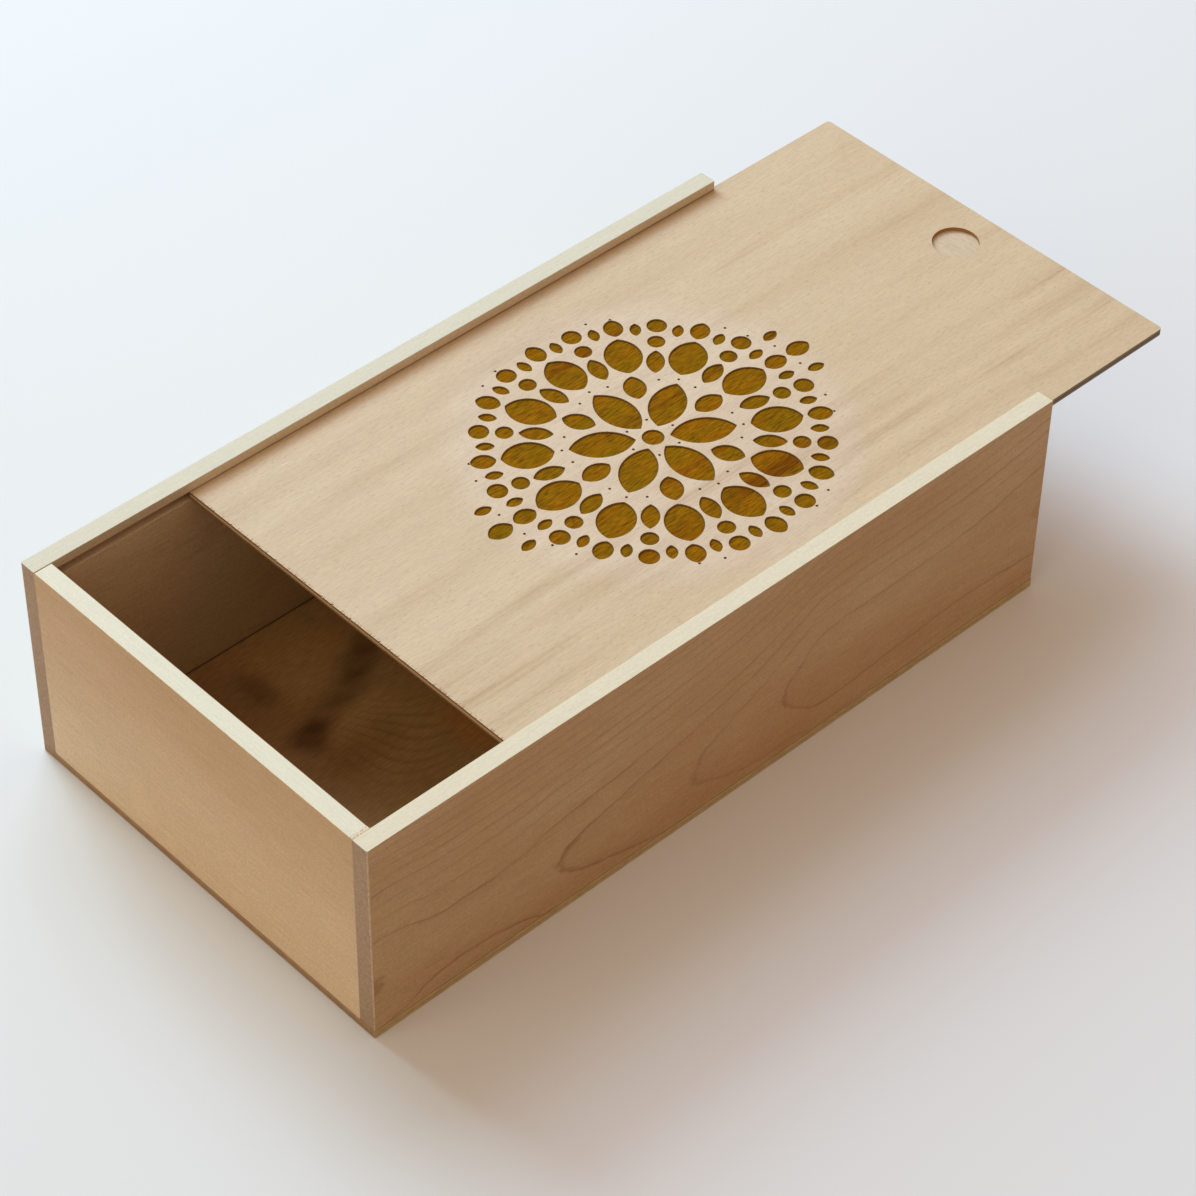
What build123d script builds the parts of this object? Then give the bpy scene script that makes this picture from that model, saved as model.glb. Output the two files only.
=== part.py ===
"""Wooden gift box with a sliding lid, in millimetres.

Two long side boards and two end boards stand on a plywood base that is pinned up into them from below. A plywood
lid runs in a groove cut round three sides, and slides out over the open end board, which is lower than the others.
+Z is up, the origin is the centre of the underside, +X points to the end where the lid slides out, and +Y to the
left side board. The lid stands partly open.
"""
import os

from build123d import *

# Overall size of the closed box without its base
box_length = 355.0
box_width = 198.0
board_height = 96.5

# Solid boards
side_thickness = 8.0
closed_end_thickness = 8.5
open_end_thickness = 8.5

# Plies of the base panel, outer faces and core
base_face_ply = 1.3
base_core_ply = 1.4

# Plies of the lid, outer faces and core
lid_face_ply = 1.0
lid_core_ply = 1.2

# Groove round three sides that the lid runs in
lip_height = 4.5  # wood left above the groove
side_groove_depth = 4.5
end_groove_depth = 5.0

# Clearances of the lid in its groove
gap_above_lid = 0.3
gap_below_lid = 0.3
lid_play = 3.0  # across the box, both sides together
gap_right_of_lid = 0.4  # the loose lid lies near the right-hand groove floor
lid_end_gap = 0.5  # between the closed lid and the end groove's floor

# Where the lid stands, measured from closed
lid_opening = 70.0

# Round finger recess in the lid's top
recess_diameter = 20.0
recess_depth = 1.8
recess_from_lid_end = 21.0  # lid's far edge to the recess's centre

# Rounding by hand sanding
arris_radius = 0.4
corner_radius = 0.8  # upright outer corners
nose_radius = 1.2  # far ends of the side boards above the open end
lid_corner_radius = 1.5

# Brads that hold the base: flat wire with a T-shaped head and a chisel point
brad_width = 1.25
brad_thickness = 1.0
brad_length = 16.0
brad_head_width = 2.0
brad_head_height = 0.5
brad_point_length = 1.5
brad_head_sunk = 0.2  # into the base's underside
brads_along_side = 5
brads_along_end = 3
brad_corner_margin = 22.0  # outermost brads to the corner along the board

# Worked out from the above
base_thickness = 2 * base_face_ply + base_core_ply
lid_thickness = 2 * lid_face_ply + lid_core_ply
box_top = base_thickness + board_height
groove_top = box_top - lip_height
groove_height = gap_above_lid + lid_thickness + gap_below_lid
groove_floor = groove_top - groove_height
near_x = -box_length / 2
far_x = box_length / 2
inner_width = box_width - 2 * side_thickness
end_groove_x = near_x + closed_end_thickness - end_groove_depth
lid_bottom = groove_floor + gap_below_lid
lid_length = far_x - (end_groove_x + lid_end_gap)
lid_width = inner_width + 2 * side_groove_depth - lid_play
lid_near_x = end_groove_x + lid_end_gap + lid_opening
lid_far_x = lid_near_x + lid_length
lid_centre_x = (lid_near_x + lid_far_x) / 2
lid_centre_y = gap_right_of_lid - lid_play / 2
cut_past = 1.0  # how far a cutter runs past the face that it opens

LOW = (Align.CENTER, Align.CENTER, Align.MIN)
HIGH = (Align.CENTER, Align.CENTER, Align.MAX)


def at_point(edge, x=None, y=None, z_over=None):
    """Whether an edge's middle lies at the given x and y, and above the given height."""
    middle = edge.center()
    return (
        (x is None or abs(middle.X - x) < 1e-3)
        and (y is None or abs(middle.Y - y) < 1e-3)
        and (z_over is None or middle.Z > z_over)
    )


def side_board(side):
    """A full-length side board with its stopped groove. side is 1 for the left board and -1 for the right."""
    outer_y = side * box_width / 2
    inner_y = side * inner_width / 2
    with BuildPart() as board:
        with Locations((0, (outer_y + inner_y) / 2, base_thickness)):
            Box(box_length, side_thickness, board_height, align=LOW)

        # The groove stops short of the near end in the round of its cutter, and runs out at the far end
        groove_middle = (groove_floor + groove_top) / 2
        face = Plane(origin=(0, inner_y, groove_middle), x_dir=(1, 0, 0), z_dir=(0, side, 0))
        with BuildSketch(face):
            run = far_x + cut_past - end_groove_x
            with Locations((end_groove_x + run / 2, 0)):
                Rectangle(run, groove_height)
            with Locations((end_groove_x, 0)):
                Circle(groove_height / 2)
        extrude(amount=side_groove_depth, mode=Mode.SUBTRACT)

        # Rounded nose at the far end, down the outer corner and round the lip
        upright = board.edges().filter_by(Axis.Z)
        across = board.edges().filter_by(Axis.Y)
        nose = [e for e in upright if at_point(e, x=far_x, y=outer_y)]
        nose += [e for e in upright if at_point(e, x=far_x, y=inner_y, z_over=groove_top)]
        nose += [e for e in across if at_point(e, x=far_x, z_over=groove_top + lip_height / 2)]
        fillet(nose, nose_radius)

        near = [e for e in board.edges().filter_by(Axis.Z) if at_point(e, x=near_x, y=outer_y)]
        fillet(near, corner_radius)
    return board.part


def closed_end():
    """The near end board, between the side boards, with the groove for the lid's near edge."""
    middle_x = near_x + closed_end_thickness / 2
    with BuildPart() as board:
        with Locations((middle_x, 0, base_thickness)):
            Box(closed_end_thickness, inner_width, board_height, align=LOW)
        inner_x = near_x + closed_end_thickness
        with Locations(((end_groove_x + inner_x) / 2, 0, groove_floor)):
            Box(inner_x - end_groove_x, inner_width, groove_height, align=LOW, mode=Mode.SUBTRACT)
        top = [e for e in board.edges().filter_by(Axis.Y) if at_point(e, z_over=box_top - arris_radius)]
        fillet(top, arris_radius)
    return board.part


def open_end():
    """The far end board, whose top is level with the groove's floor so that the lid slides out over it."""
    height = groove_floor - base_thickness
    with BuildPart() as board:
        with Locations((far_x - open_end_thickness / 2, 0, base_thickness)):
            Box(open_end_thickness, inner_width, height, align=LOW)
        top = [e for e in board.edges().filter_by(Axis.Y) if at_point(e, z_over=groove_floor - arris_radius)]
        fillet(top, arris_radius)
    return board.part


def brad_places():
    """Where each brad stands: at even steps along the middle of each board, its head in line with the board."""
    side_y = (box_width - side_thickness) / 2
    side_step = (box_length - 2 * brad_corner_margin) / (brads_along_side - 1)
    places = []
    for i in range(brads_along_side):
        x = near_x + brad_corner_margin + i * side_step
        places += [Pos(x, side_y, brad_head_sunk), Pos(x, -side_y, brad_head_sunk)]
    end_step = (inner_width - 2 * brad_corner_margin) / (brads_along_end - 1)
    for i in range(brads_along_end):
        y = -inner_width / 2 + brad_corner_margin + i * end_step
        for x in (near_x + closed_end_thickness / 2, far_x - open_end_thickness / 2):
            places.append(Pos(x, y, brad_head_sunk) * Rot(0, 0, 90))
    return places


def brad():
    """One brad, point up, the underside of its head's face at zero."""
    head = brad_head_width / 2
    shank = brad_width / 2
    outline = [
        (-head, 0),
        (head, 0),
        (head, brad_head_height),
        (shank, brad_head_height),
        (shank, brad_length - brad_point_length),
        (0, brad_length),
        (-shank, brad_length - brad_point_length),
        (-shank, brad_head_height),
        (-head, brad_head_height),
    ]
    with BuildPart() as pin:
        with BuildSketch(Plane.XZ):
            with BuildLine():
                Polyline(*outline, close=True)
            make_face()
        extrude(amount=brad_thickness / 2, both=True)
    return pin.part


def brads():
    """All the brads, each a separate solid."""
    return Compound(children=[place * brad() for place in brad_places()])


def brad_holes():
    """What the brads take out of the wood, with the pit that each sunk head leaves in the underside."""
    pit = Box(brad_head_width, brad_thickness, brad_head_sunk + cut_past, align=HIGH)
    return list(brads().solids()) + [place * pit for place in brad_places()]


def base_ply(bottom, thickness):
    """One ply of the base panel, its outline flush with the boards."""
    with BuildPart() as ply:
        with BuildSketch(Plane.XY.offset(bottom)):
            RectangleRounded(box_length, box_width, corner_radius)
        extrude(amount=thickness)
    return ply.part


def base_outer_ply():
    """The lowest ply, with its lower arris sanded."""
    ply = base_ply(0, base_face_ply)
    return fillet(ply.faces().sort_by(Axis.Z)[0].edges(), arris_radius)


def lid_ply(bottom, thickness):
    """One ply of the lid, where the lid stands."""
    with BuildPart() as ply:
        with BuildSketch(Plane.XY.offset(bottom)):
            with Locations((lid_centre_x, lid_centre_y)):
                RectangleRounded(lid_length, lid_width, lid_corner_radius)
        extrude(amount=thickness)
    return ply.part


def recess():
    """The space of the round finger recess, down from above the lid."""
    recess_floor = lid_bottom + lid_thickness - recess_depth
    place = Pos(lid_far_x - recess_from_lid_end, lid_centre_y, recess_floor)
    return place * Cylinder(recess_diameter / 2, recess_depth + cut_past, align=LOW)


holes = brad_holes()
lid_core_bottom = lid_bottom + lid_face_ply
lid_face_bottom = lid_core_bottom + lid_core_ply
parts = {
    "left_side": side_board(1) - holes,
    "right_side": side_board(-1) - holes,
    "closed_end": closed_end() - holes,
    "open_end": open_end() - holes,
    "base_outer_veneer": base_outer_ply() - holes,
    "base_core_veneer": base_ply(base_face_ply, base_core_ply) - holes,
    "base_inner_veneer": base_ply(base_face_ply + base_core_ply, base_face_ply) - holes,
    "base_brads": brads(),
    "lid_back_veneer": lid_ply(lid_bottom, lid_face_ply),
    "lid_core_veneer": lid_ply(lid_core_bottom, lid_core_ply) - recess(),
    "lid_face_veneer": lid_ply(lid_face_bottom, lid_face_ply) - recess(),
}

os.makedirs("parts", exist_ok=True)
for name, shape in parts.items():
    export_step(shape, f"parts/{name}.step")
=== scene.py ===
"""Dresses the sliding-lid gift box: solid boards, a three-ply lid with an engraved rosette, a plywood base.

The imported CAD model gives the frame. The boards and the lid's plies are made again over it with eased
arrises and the engraving, and the base's plies and brads keep their CAD meshes. Every surface gets its wood,
and the camera stands where the photograph was taken from. Sizes are in millimetres, apart from the studio's,
and a piece is brought down to metres when it is finished.
"""
import logging
import math
from dataclasses import dataclass, field
from enum import Enum
from typing import Any, Callable, Mapping, Sequence

import bmesh
import bpy
from mathutils import Matrix, Vector


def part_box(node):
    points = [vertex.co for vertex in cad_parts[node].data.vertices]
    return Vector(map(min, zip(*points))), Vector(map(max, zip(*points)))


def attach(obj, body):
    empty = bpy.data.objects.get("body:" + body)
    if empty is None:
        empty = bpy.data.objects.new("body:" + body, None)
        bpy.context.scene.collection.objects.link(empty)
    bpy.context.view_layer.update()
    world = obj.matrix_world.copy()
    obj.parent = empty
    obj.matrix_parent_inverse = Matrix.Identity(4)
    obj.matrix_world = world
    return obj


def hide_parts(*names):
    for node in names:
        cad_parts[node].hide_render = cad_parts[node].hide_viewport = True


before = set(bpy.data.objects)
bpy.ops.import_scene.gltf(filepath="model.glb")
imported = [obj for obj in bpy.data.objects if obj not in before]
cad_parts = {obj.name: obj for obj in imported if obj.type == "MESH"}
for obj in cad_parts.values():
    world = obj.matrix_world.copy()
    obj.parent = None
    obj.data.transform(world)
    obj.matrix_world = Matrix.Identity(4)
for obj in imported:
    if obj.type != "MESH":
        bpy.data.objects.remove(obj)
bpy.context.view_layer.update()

log = logging.getLogger("gift_box")

MM = 0.001

# How far a corner may lie from a plane that it counts as in, on boards and in the lid's engraved top
NEAR = 0.01
FLUSH = 0.001
# A hair's breadth, which keeps faces apart that would otherwise fall together
HAIR = 0.02
# What spreads nearly all of a cloud's values over the whole range of a Map Range node
SPREAD: Mapping[int, float] = {1: 0.3, 2: 0.7}

Point = tuple[float, float, float]
Colour = tuple[float, float, float, float]
Curve = tuple[tuple[float, float], ...]
Bands = tuple[tuple[float, float, float], ...]
Blots = tuple[tuple[float, float, float, float, float], ...]
Test = Callable[[list[Vector]], bool]


def srgb(code: str) -> Colour:
    """Turns an sRGB hex colour into linear light.

    Args:
        code: the colour as six hex digits.

    Returns:
        Red, green, blue and an alpha of 1.
    """
    parts = [int(code[i:i + 2], 16) / 255 for i in (0, 2, 4)]
    linear = [c / 12.92 if c <= 0.04045 else ((c + 0.055) / 1.055) ** 2.4 for c in parts]
    return (*linear, 1.0)


class Grain(Enum):
    """Which way a piece's fibres run, as the turn about Z that brings them onto the pattern's X."""

    ALONG_BOX = 0.0
    ACROSS_BOX = -math.pi / 2


class Side(Enum):
    """A long side of the box, by the sign of its Y."""

    LEFT = 1
    RIGHT = -1


class Element(Enum):
    """What a selection is made of, as the modeller's three select modes."""

    EDGE = (False, True, False)
    FACE = (False, False, True)


class Bench:
    """The moves that shape every piece, as they are made by hand in the modeller.
    """

    @staticmethod
    def take(piece: bpy.types.Object) -> None:
        """Makes one piece the only one selected, and active.

        Args:
            piece: the piece.
        """
        bpy.ops.object.select_all(action="DESELECT")
        piece.select_set(True)
        bpy.context.view_layer.objects.active = piece

    @staticmethod
    def settle(piece: bpy.types.Object, name: str) -> bpy.types.Object:
        """Names a new piece and moves its place into its mesh.

        Args:
            piece: the new object.
            name: its name.

        Returns:
            The same object, at the origin, unturned and unscaled.
        """
        piece.name = name
        piece.data.name = name
        Bench.take(piece)
        bpy.ops.object.transform_apply(location=True, rotation=True, scale=True)
        return piece

    @staticmethod
    def block(name: str, low: Sequence[float], high: Sequence[float]) -> bpy.types.Object:
        """Adds a square block between two corners.

        Args:
            name: the piece's name.
            low: its lowest corner in mm.
            high: its highest corner in mm.

        Returns:
            The block.
        """
        low, high = Vector(low), Vector(high)
        bpy.ops.object.select_all(action="DESELECT")
        bpy.ops.mesh.primitive_cube_add(size=1, location=(low + high) / 2, scale=high - low)
        return Bench.settle(bpy.context.object, name)

    @staticmethod
    def drum(
        name: str, centre: Sequence[float], radius: float, height: float, sides: int
    ) -> bpy.types.Object:
        """Adds an upright round block.

        Args:
            name: the piece's name.
            centre: its centre in mm.
            radius: its radius in mm.
            height: its height in mm.
            sides: how many flats go round it.

        Returns:
            The drum.
        """
        bpy.ops.object.select_all(action="DESELECT")
        bpy.ops.mesh.primitive_cylinder_add(vertices=sides, radius=radius, depth=height, location=centre)
        return Bench.settle(bpy.context.object, name)

    @staticmethod
    def mark(piece: bpy.types.Object, element: Element, test: Test) -> int:
        """Opens a piece in edit mode with only the edges or faces selected whose corners pass a test.

        Args:
            piece: the piece.
            element: whether edges or faces are tested.
            test: takes an element's corners in mm and says whether it is wanted.

        Returns:
            How many are selected.
        """
        Bench.take(piece)
        bpy.context.tool_settings.mesh_select_mode = element.value
        bpy.ops.object.mode_set(mode="EDIT")
        bpy.ops.mesh.select_all(action="DESELECT")
        shape = bmesh.from_edit_mesh(piece.data)
        found = 0
        for item in shape.edges if element is Element.EDGE else shape.faces:
            if test([vertex.co for vertex in item.verts]):
                item.select_set(True)
                found += 1
        bmesh.update_edit_mesh(piece.data)
        return found

    @staticmethod
    def close() -> None:
        """Leaves edit mode."""
        bpy.ops.object.mode_set(mode="OBJECT")

    @staticmethod
    def round_edges(piece: bpy.types.Object, test: Test, width: float, segments: int) -> None:
        """Rounds the edges that pass a test.

        Args:
            piece: the piece.
            test: takes an edge's two ends in mm.
            width: the bevel's width in mm.
            segments: how many faces make the round.
        """
        if Bench.mark(piece, Element.EDGE, test):
            bpy.ops.mesh.bevel(offset=width, segments=segments, profile=0.5, affect="EDGES")
        Bench.close()

    @staticmethod
    def cut(piece: bpy.types.Object, cutter: bpy.types.Object) -> None:
        """Takes a cutter's shape out of a piece, and removes the cutter.

        Args:
            piece: the piece that is cut.
            cutter: what it is cut with.
        """
        Bench.take(piece)
        modifier = piece.modifiers.new("cut", "BOOLEAN")
        modifier.operation = "DIFFERENCE"
        modifier.solver = "EXACT"
        modifier.object = cutter
        bpy.ops.object.modifier_apply(modifier=modifier.name)
        bpy.data.objects.remove(cutter, do_unlink=True)

    @staticmethod
    def ease(piece: bpy.types.Object, width: float, segments: int = 2) -> None:
        """Takes the sharpness off every edge that is still square.

        Args:
            piece: the piece.
            width: how wide the eased edge is, in mm.
            segments: how many faces make it.
        """
        Bench.take(piece)
        modifier = piece.modifiers.new("ease", "BEVEL")
        modifier.width = width
        modifier.segments = segments
        modifier.limit_method = "ANGLE"
        modifier.angle_limit = math.radians(40)
        modifier.use_clamp_overlap = True
        bpy.ops.object.modifier_apply(modifier=modifier.name)

    @staticmethod
    def finish(piece: bpy.types.Object) -> None:
        """Brings a finished piece down to metres, and shades its flat faces flat and its rounds round.

        Args:
            piece: the piece.
        """
        Bench.take(piece)
        piece.scale = (MM, MM, MM)
        bpy.ops.object.transform_apply(location=True, rotation=True, scale=True)
        bpy.ops.object.shade_smooth_by_angle(angle=math.radians(50))
        modifier = piece.modifiers.new("flat_faces", "WEIGHTED_NORMAL")
        modifier.keep_sharp = True
        bpy.ops.object.modifier_apply(modifier=modifier.name)

    @staticmethod
    def join(pieces: Sequence[bpy.types.Object], name: str) -> bpy.types.Object:
        """Joins several shapes into one object.

        Args:
            pieces: the shapes.
            name: the name of what they become.

        Returns:
            The joined object.
        """
        bpy.ops.object.select_all(action="DESELECT")
        for piece in pieces:
            piece.select_set(True)
        bpy.context.view_layer.objects.active = pieces[0]
        bpy.ops.object.join()
        return Bench.settle(pieces[0], name)


def add_node(
    tree: bpy.types.NodeTree,
    kind: str,
    inputs: Mapping[str | int, Any] | None = None,
    stops: Sequence[tuple[float, Any]] = (),
    points: Sequence[tuple[float, float]] = (),
    **settings: Any,
) -> bpy.types.Node:
    """Adds a node with its settings and links.

    Inputs that share a name are given by number. So are a Map Range node's, for short: 0 is the value, 1 and
    2 are the ends of the range that it is read in, and 3 and 4 what they become.

    Args:
        tree: what it is added to.
        kind: the shader node's type, without the ShaderNode that every such type starts with.
        inputs: for each input, by its name or number, a value, another node or one of its outputs.
        stops: the places and colours of a colour ramp.
        points: the points of a curve.
        settings: the node's own settings.

    Returns:
        The new node.
    """
    node = tree.nodes.new(f"ShaderNode{kind}")
    for name, value in settings.items():
        setattr(node, name, value)
    for name, value in (inputs or {}).items():
        if isinstance(value, bpy.types.Node):
            value = next(socket for socket in value.outputs if socket.enabled)
        if isinstance(name, str):
            taker = next(socket for socket in node.inputs if socket.enabled and socket.name == name)
        else:
            taker = node.inputs[name]
        if isinstance(value, bpy.types.NodeSocket):
            tree.links.new(value, taker)
        else:
            taker.default_value = value
    # A new ramp or curve already has two points
    for i, (at, colour) in enumerate(stops):
        ramp = node.color_ramp.elements
        step = ramp[i] if i < 2 else ramp.new(at)
        step.position = at
        step.color = colour if isinstance(colour, tuple) else (colour, colour, colour, 1)
    for i, point in enumerate(points):
        curve = node.mapping.curves[0].points
        if i < 2:
            curve[i].location = point
        else:
            curve.new(*point)
    if points:
        node.mapping.update()
    return node


class Pattern:
    """A material while it is built, with the place on the piece in mm and X along the fibres."""

    def __init__(self, name: str, grain: Grain) -> None:
        """Starts the material.

        Args:
            name: the material's name.
            grain: which way the piece's fibres run.
        """
        self.material = bpy.data.materials.new(name)
        self.material.use_nodes = True
        self.tree = self.material.node_tree
        self.tree.nodes.clear()
        spot = self.add("TexCoord")
        turned = self.add("Mapping", {"Vector": spot.outputs["Object"], "Rotation": (0, 0, grain.value)})
        self.place = self.add("VectorMath", {0: turned, "Scale": 1 / MM}, operation="SCALE")
        facing = self.add(
            "Mapping",
            {"Vector": spot.outputs["Normal"], "Rotation": (0, 0, grain.value)},
            vector_type="NORMAL",
        )
        self.facing = self.add("SeparateXYZ", {"Vector": facing})
        self.axes = self.add("SeparateXYZ", {"Vector": self.place})

    def add(self, kind: str, *given: Any, **settings: Any) -> bpy.types.Node:
        """Adds a node to the material, with what add_node takes."""
        return add_node(self.tree, kind, *given, **settings)

    def stretched(self, along: float, across: float) -> bpy.types.Node:
        """The place on the piece in grains of a given size.

        Args:
            along: a grain's length along the fibres in mm.
            across: its width in mm.

        Returns:
            A node that gives the stretched place.
        """
        return self.add(
            "VectorMath", {0: self.place, 1: (1 / along, 1 / across, 1 / across)}, operation="MULTIPLY"
        )

    def cloud(self, along: float, across: float, detail: float = 2.0) -> bpy.types.Node:
        """Soft mottling in grains of a given size, about 0.5 on average.

        Args:
            along: a grain's length along the fibres in mm.
            across: its width in mm.
            detail: how many finer layers are laid over it.

        Returns:
            The noise node.
        """
        return self.add(
            "TexNoise", {"Vector": self.stretched(along, across), "Scale": 1.0, "Detail": detail}
        )

    def curve(self, value: bpy.types.NodeSocket, reach: float, points: Curve) -> bpy.types.Node:
        """A value that follows another one through given points.

        Args:
            value: the value that it follows, in mm.
            reach: how far that value runs either side of zero.
            points: some of its values, and what they give.

        Returns:
            The node that gives it.
        """
        low = min(given for _, given in points)
        span = max(max(given for _, given in points) - low, 1e-6)
        where = self.add("MapRange", {0: value, 1: -reach, 2: reach, 3: 0.0, 4: 1.0})
        ends = [points[0], points[-1], *points[1:-1]]
        line = self.add(
            "FloatCurve",
            {"Value": where},
            points=[((at + reach) / (2 * reach), (given - low) / span) for at, given in ends],
        )
        return self.add("Math", {0: line, 1: span, 2: low}, operation="MULTIPLY_ADD")

    def bands(self, bands: Bands, wander: float) -> bpy.types.Node:
        """Dense bands that run along the piece, broken into finer lines.

        Args:
            bands: for each, its place across the piece in mm, half its width and its strength.
            wander: how far it strays to either side.

        Returns:
            The node that gives their strength, 0 between them.
        """
        stray = self.add(
            "Math", {0: self.cloud(130, 70), 1: 4 * wander, 2: -2 * wander}, operation="MULTIPLY_ADD"
        )
        across = self.add("Math", {0: self.axes.outputs["Y"], 1: stray}, operation="ADD")
        total = None
        for place, half, strength in bands:
            offset = self.add("Math", {0: across, 1: place}, operation="SUBTRACT")
            away = self.add("Math", {0: offset}, operation="ABSOLUTE")
            band = self.add(
                "MapRange", {0: away, 1: half, 2: 0.0, 3: 0.0, 4: strength}, interpolation_type="SMOOTHSTEP"
            )
            total = band if total is None else self.add("Math", {0: total, 1: band}, operation="MAXIMUM")
        lines = self.add("MapRange", {0: self.cloud(70, 1.6, 2.0), 1: 0.38, 2: 0.66, 3: 0.3, 4: 1.0})
        fading = self.add("MapRange", {0: self.cloud(75, 40), 1: 0.36, 2: 0.58, 3: 0.15, 4: 1.0})
        broken = self.add("Math", {0: lines, 1: fading}, operation="MULTIPLY")
        return self.add("Math", {0: total, 1: broken}, operation="MULTIPLY")

    def blots(self, blots: Blots) -> bpy.types.Node:
        """Soft patches in the figure, with outlines that wander.

        Args:
            blots: for each, its place along and across the piece, half its length and half its width in mm,
                and its strength, which is below 0 for a dark one.

        Returns:
            The node that gives their strength, 0 between them.
        """
        noise = self.cloud(30, 16)
        stray = self.add("VectorMath", {0: noise.outputs["Color"], 1: (0.5, 0.5, 0.5)}, operation="SUBTRACT")
        moved = self.add("VectorMath", {0: stray, 1: (16, 10, 0), 2: self.place}, operation="MULTIPLY_ADD")
        total = None
        for along, across, half_length, half_width, strength in blots:
            offset = self.add("VectorMath", {0: moved, 1: (along, across, 0)}, operation="SUBTRACT")
            scaled = self.add(
                "VectorMath", {0: offset, 1: (1 / half_length, 1 / half_width, 0)}, operation="MULTIPLY"
            )
            away = self.add("VectorMath", {0: scaled}, operation="LENGTH")
            blot = self.add(
                "MapRange",
                {0: away.outputs["Value"], 1: 1.2, 2: 0.3, 3: 0.0, 4: strength},
                interpolation_type="SMOOTHSTEP",
            )
            total = blot if total is None else self.add("Math", {0: total, 1: blot}, operation="ADD")
        return total

    def dashes(self, length: float, width: float) -> bpy.types.Node:
        """Short marks along the fibres, such as cut rays leave, from 0 to 1. Both sizes are in mm."""
        return self.add("MapRange", {0: self.cloud(length, width, 1.0), 1: 0.55, 2: 0.75})

    def finish(
        self,
        colour: bpy.types.Node,
        roughness: Any,
        height: bpy.types.Node | None = None,
        **shader: Any,
    ) -> bpy.types.Material:
        """Closes the material with its shader.

        Args:
            colour: what gives its colour.
            roughness: a node or a number.
            height: the surface's height in mm, for its bump.
            shader: other inputs of the shader, with _ for a space.

        Returns:
            The material.
        """
        inputs = {"Base Color": colour, "Roughness": roughness}
        if height is not None:
            inputs["Normal"] = self.add("Bump", {"Height": height, "Strength": 1.0, "Distance": MM})
        inputs.update({name.replace("_", " "): value for name, value in shader.items()})
        surface = self.add("BsdfPrincipled", inputs)
        self.add("OutputMaterial", {"Surface": surface})
        return self.material


@dataclass(frozen=True)
class Log:
    """Where a board was cut from its tree, in mm and in the board's own directions.

    The rings stand far from the pith, so they are thin in the board's edge and wide in its flat-sawn face.
    face is where its outer face lies across the grain, first_ring the radius of the ring that is counted as
    the first, and waver how far the finest waves of a ring go. pith_height and taper give the pith's height
    and what the tree's radius gains at places along the board, up to reach from its middle.
    """

    grain: Grain
    face: float
    pith_distance: float = 484.0
    ring_width: float = 0.605
    first_ring: float = 482.37
    reach: float = 180.0
    waver: float = 0.09
    pith_height: Curve = ((-180, 30), (180, 40))
    taper: Curve = ((-180, 0), (180, 1.5))

    def rings(self, pattern: Pattern, waviness: float) -> bpy.types.Node:
        """Counts the growth rings at each place of the board.

        Args:
            pattern: the material being built.
            waviness: how far the rings' broad waves go, in mm of the tree's radius.

        Returns:
            A node whose whole numbers are ring borders.
        """
        height = pattern.add(
            "Math",
            {
                0: pattern.axes.outputs["Z"],
                1: pattern.curve(pattern.axes.outputs["X"], self.reach, self.pith_height),
            },
            operation="SUBTRACT",
        )
        depth = pattern.add(
            "Math", {0: pattern.axes.outputs["Y"], 1: self.pith_distance - self.face}, operation="ADD"
        )
        out = pattern.add("CombineXYZ", {"Y": depth, "Z": height})
        radius = pattern.add("VectorMath", {0: out}, operation="LENGTH")
        grown = pattern.add(
            "Math",
            {
                0: radius.outputs["Value"],
                1: pattern.curve(pattern.axes.outputs["X"], self.reach, self.taper),
            },
            operation="SUBTRACT",
        )
        stray = pattern.add(
            "Math", {0: pattern.cloud(60, 16), 1: waviness, 2: -waviness / 2}, operation="MULTIPLY_ADD"
        )
        waver = pattern.add(
            "Math", {0: pattern.cloud(9, 3.5), 1: self.waver, 2: stray}, operation="MULTIPLY_ADD"
        )
        strayed = pattern.add("Math", {0: grown, 1: waver}, operation="ADD")
        from_first = pattern.add("Math", {0: strayed, 1: self.first_ring}, operation="SUBTRACT")
        return pattern.add("Math", {0: from_first, 1: self.ring_width}, operation="DIVIDE")


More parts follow.
